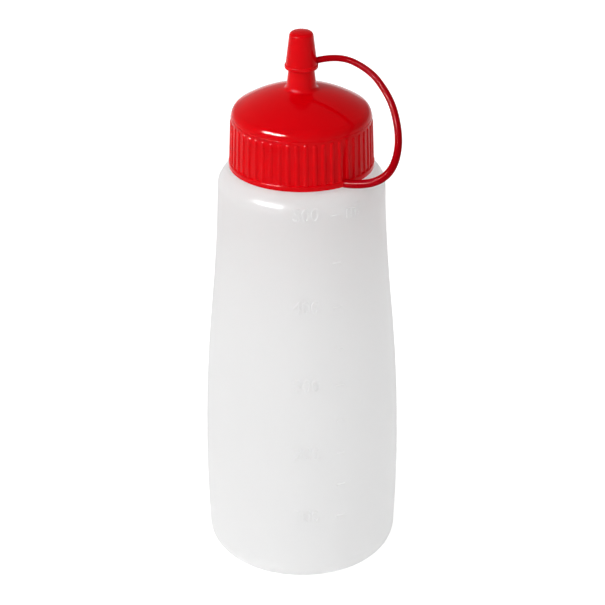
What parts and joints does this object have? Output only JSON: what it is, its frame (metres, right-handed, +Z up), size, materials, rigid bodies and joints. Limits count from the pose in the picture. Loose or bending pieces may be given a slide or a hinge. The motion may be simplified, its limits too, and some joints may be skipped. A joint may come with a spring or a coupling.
{
  "type": "squeeze bottle",
  "caption": "Translucent squeeze bottle with a red ribbed screw cap, a short nozzle and a cone-shaped tip cap held by a curved strap.",
  "frame": {"origin": "on the bottle's axis, in the plane of its foot ring", "axes": "+Z up along the bottle's axis, -Y the front, where the volume scale is, +X towards the bowed side of the tether"},
  "size_m": [0.0718, 0.0718, 0.206],
  "materials": {
    "bottle_plastic": "translucent natural, satin",
    "cap_plastic": "glossy red"
  },
  "bodies": {
    "root": {"bottle": "bottle_plastic", "screw_cap": "cap_plastic", "tip_cap": "cap_plastic", "tether": "cap_plastic"}
  },
  "joints": []
}
